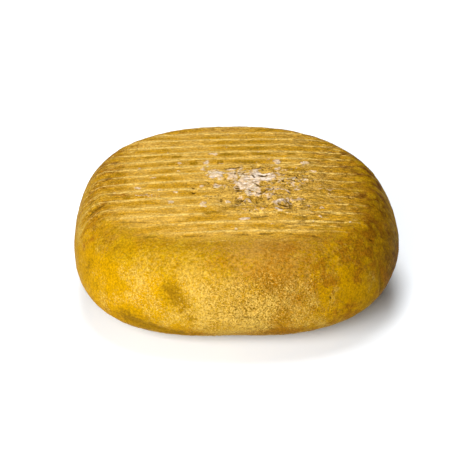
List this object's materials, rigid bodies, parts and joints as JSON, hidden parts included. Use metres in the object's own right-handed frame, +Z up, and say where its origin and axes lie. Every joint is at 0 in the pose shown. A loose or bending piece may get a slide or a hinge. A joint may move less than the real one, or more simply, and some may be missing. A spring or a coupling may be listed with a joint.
{
  "type": "mahon cheese",
  "caption": "Whole pressed cheese: a low, rounded, nearly square loaf in an ochre rind, with cloth ridges across its top and a crusted knot mark.",
  "frame": {"origin": "middle of the cheese's box in plan, on the surface it stands on", "axes": "+X to the right of the face that is seen first, along the top's ridges; +Y away from that face; +Z up, through the cheese's height"},
  "size_m": [0.2028, 0.2002, 0.0718],
  "materials": {
    "rind": "dry, matt, oiled rind, golden to ochre brown, with pale mould in the middle of the top"
  },
  "bodies": {
    "root": {"cheese": "rind"}
  },
  "joints": []
}
